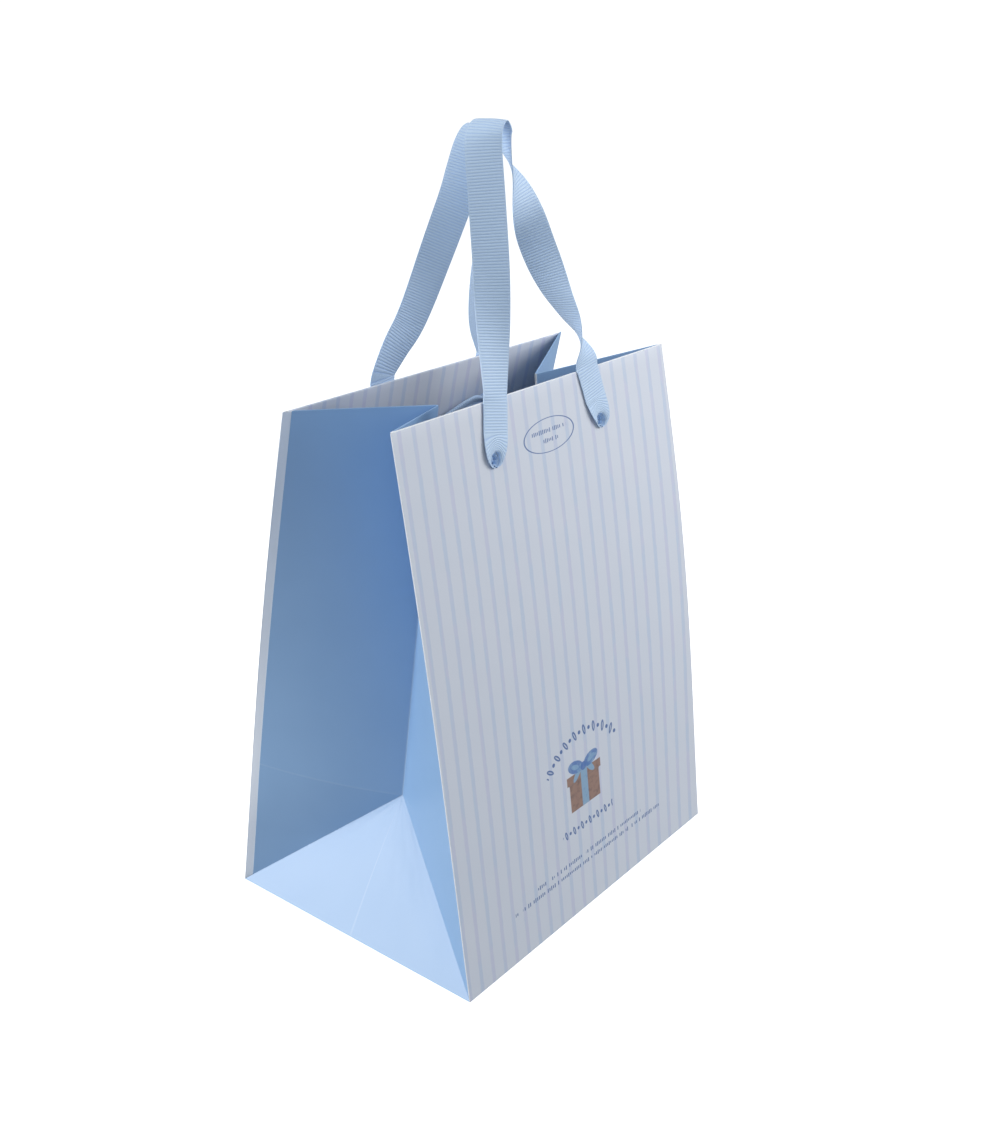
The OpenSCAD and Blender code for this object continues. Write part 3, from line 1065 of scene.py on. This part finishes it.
def ribbonFinish():
    finish = Finish("grosgrainRibbon", **{"Sheen Weight": 0.3, "Sheen Roughness": 0.4})
    flat = finish.uv()
    x, y, _ = finish.part(flat)
    off, number = finish.cell(y / ribbon["rib"])
    half, selvage = ribbon["width"] / 2, ribbon["selvage"]
    edge = finish.ease(finish.size(x), half - selvage, half - selvage * 0.7)
    rounded = 1 - off * off * 4
    odd = finish.size(number - finish.maths("ROUND", number / 2) * 2)
    thread, _ = finish.cell(x / ribbon["thread"] + 0.5 * odd)
    weave = 1 - thread * thread * 2.2
    height = rounded * (1 - edge * 0.8) + weave * 0.3 + edge * 0.35
    # the rounded rib tops are painted pale, a painted highlight, and the grooves between them deep, painted
    # shade
    lit = finish.ease(rounded * (0.7 + weave * 0.3), 0.1, 0.85)
    wash = finish.cloud(flat, 14 * mm, 2.0)
    colour = finish.blend(ribbon["deepToneAndGrooveShade"], ribbon["pale"], lit)
    colour = finish.blend(colour, ribbon["edge"], edge * 0.6)
    colour = finish.blend(colour, ribbon["deepToneAndGrooveShade"], wash * 0.25)
    finish.set(Base_Color=colour, Roughness=0.5 + wash * 0.1 - rounded * 0.08)
    finish.set(Normal=finish.bump(height, ribbon["relief"]))
    return finish.material


ribbonCloth = ribbonFinish()


def ribbonPiece(name, lines, end):
    # a strip of ribbon through these lines across it; also gives its length along the ribbon
    rows = len(lines) - 1
    length = [0.0]
    for k in range(rows):
        length.append(length[-1] + (lines[k + 1](0.5) - lines[k](0.5)).length)
    piece = bendGrid(
        name, 26, rows, lambda a, up: lines[round(up * rows)](2 * a - 1),
        lambda a, up: ((a - 0.5) * ribbon["width"], length[round(up * rows)]), outOf(end),
    )
    paint(piece, ribbonCloth)
    wall(piece, ribbon["thick"], 0.0, False)
    settle(piece, 40)
    return piece, round(length[-1], 3)


def makeHandle(end):
    path = ribbonPath(end)
    last = len(path) - 1

    def across(k, u):
        # the ribbon's line across at a station, a little curled
        along = (path[min(k + 1, last)][0] - path[max(k - 1, 0)][0]).normalized()
        turn = math.radians(path[k][1])
        level = Vector((math.cos(turn), math.sin(turn), 0))
        width = (level - along * level.dot(along)).normalized()
        wave = math.sin(k / 11) * min(k, last - k, 20) / 20
        curl = ribbon["curl"] * (1 - u * u) * wave
        return path[k][0] + width * (u * ribbon["width"] / 2) + width.cross(along).normalized() * curl

    def rolledLines(side, flip):
        return [lambda u, step=step: rolledPoint(end, side, flip, u, step) for step in rollSteps]

    # the ribbon may reach its right hole turned over
    flip = math.cos(math.radians(path[last][1]))
    middle = [lambda u, k=k: across(k, u) for k in range(last + 1)]
    loop, total = ribbonPiece(end + "_ribbon", middle, end)
    bend = Vector(joint(end + "_handle_bend")["pos_m"])
    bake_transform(loop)
    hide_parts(end + "_handle_ends", end + "_handle_loop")

    # the short rolled ends, which stay in their holes
    swing = Vector(joint(end + "_handle_swing")["pos_m"])
    ends = {
        "left": rolledLines(-1, 1) + [middle[0]],
        "right": rolledLines(1, flip) + [middle[-1]],
    }
    for name, lines in ends.items():
        short, length = ribbonPiece(f"{end}_{name}_ribbon_end", lines, end)
        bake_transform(short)
        total += length
    print(f"{end} handle: {total * 1000:.0f} mm of ribbon between its holes")


makeHandle("front")
makeHandle("back")


# the knots behind the holes, each with its neck and two cut tails

knot = {
    "radius": 4.9 * mm,
    "in": 6.7 * mm,           # from the printed face to the knot's middle
    "flat": 0.86,             # its depth against its height
    "crown": 0.42,            # how far a turn of ribbon rounds off at its edges
    "pucker": 0.25 * mm,
    "turns": [(8, 0.9, 8.2 * mm), (62, 0.98, 5.6 * mm)],    # tilt, share of the radius and width
    "neck": 3.1 * mm,
    "neckShort": 0.6 * mm,    # how far the neck stops short of the printed face
}
tails = {
    "length": 27 * mm,
    "from": 3.0 * mm,         # where a tail leaves the knot, from its middle
    "slant": 2.0 * mm,
    "pinch": 0.4,             # its width at the knot, as a share of the ribbon's
    "full": 0.97,
    "fold": 1.4 * mm,
    "arch": 1.6 * mm,
    "apart": 1.4 * mm,
    "close": 3.4 * mm,        # how much nearer to the panel its end lies
    # lean from straight down, share of the length, and droop
    "first": {"front": (14, 1.0, 0.0), "back": (-91, 1.9, 16 * mm)},
    "second": (-20, 0.8, 0.0),
}


def joinMeshes(name, parts):
    mesh = bmesh.new()
    for part in parts:
        mesh.from_mesh(part.data)
        bpy.data.objects.remove(part)
    return keep(name, mesh)


def makeKnot(end, side):
    # local axes: across the panel, up it, and in from the printed face
    middle = onPanel(end, side * holeAcross(end), holeUp(end), -knot["in"])
    right, rise, inward = Vector((1, 0, 0)), upOf(end), -outOf(end)
    name = end + ("_left" if side < 0 else "_right") + "_knot"

    def at(x, y, z):
        return middle + right * x + rise * y + inward * z

    def band(number):
        # one turn of ribbon round the knot, rounded like a barrel
        tilt, share, width = knot["turns"][number]
        radius, tilt = knot["radius"] * share, math.radians(tilt * side)
        c, s = math.cos(tilt), math.sin(tilt)

        def place(across, up):
            around = 2 * math.pi * up
            u = 2 * across - 1
            swell = radius * math.sqrt(1 - knot["crown"] * u * u)
            swell += knot["pucker"] * math.cos(5 * around + number)
            x, y, z = u * width / 2, swell * math.cos(around), swell * math.sin(around) * knot["flat"]
            return at(x * c - y * s, x * s + y * c, z)

        def flat(across, up):
            return (across - 0.5) * width, up * 2 * math.pi * radius

        return bendGrid(f"turn{number}", 10, 40, place, flat, Vector())

    def tail(number, lean, share, droop):
        # a cut end that leaves the knot at this lean, and droops along its length
        reach, lean = tails["length"] * share, math.radians(lean)
        c, s = math.cos(lean), math.sin(lean)

        def place(across, up):
            u = 2 * across - 1
            width = u * ribbon["width"] / 2 * min(tails["pinch"] + 2.0 * up, tails["full"])
            down = tails["from"] + reach * up + tails["slant"] * u * up
            fold = tails["fold"] * (1 - up) * math.cos(2.5 * math.pi * u)
            arch = tails["arch"] * math.sin(math.pi * up)
            level = tails["apart"] * number + fold + arch - tails["close"] * up
            return at(width * c + down * s, width * s - down * c - droop * up * up, level)

        def flat(across, up):
            return (across - 0.5) * ribbon["width"], up * reach

        return bendGrid(f"tail{number}", 12, 26, place, flat, inward)

    def neckPlace(across, up):
        around = 2 * math.pi * across
        radius = knot["neck"] * (1 + 0.16 * math.cos(6 * around)) * (1 + 0.15 * up)
        return at(radius * math.cos(around), radius * math.sin(around), (knot["neckShort"] - knot["in"]) * up)

    def neckFlat(across, up):
        return (across - 0.5) * ribbon["width"], up * knot["in"]

    lean, share, droop = tails["first"][end]
    if end == "front":
        lean *= side
    secondLean, *second = tails["second"]
    neck = bendGrid("neck", 36, 8, neckPlace, neckFlat, Vector())
    parts = [band(0), band(1), tail(0, lean, share, droop), tail(1, secondLean * side, *second), neck]
    piece = joinMeshes(name + "_tied", parts)
    paint(piece, ribbonCloth)
    wall(piece, ribbon["thick"], 0.0, False)
    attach(piece, end + "_panel")
    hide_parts(name)


for end in ("front", "back"):
    for side in (-1, 1):
        makeKnot(end, side)
print("handles and knots made")
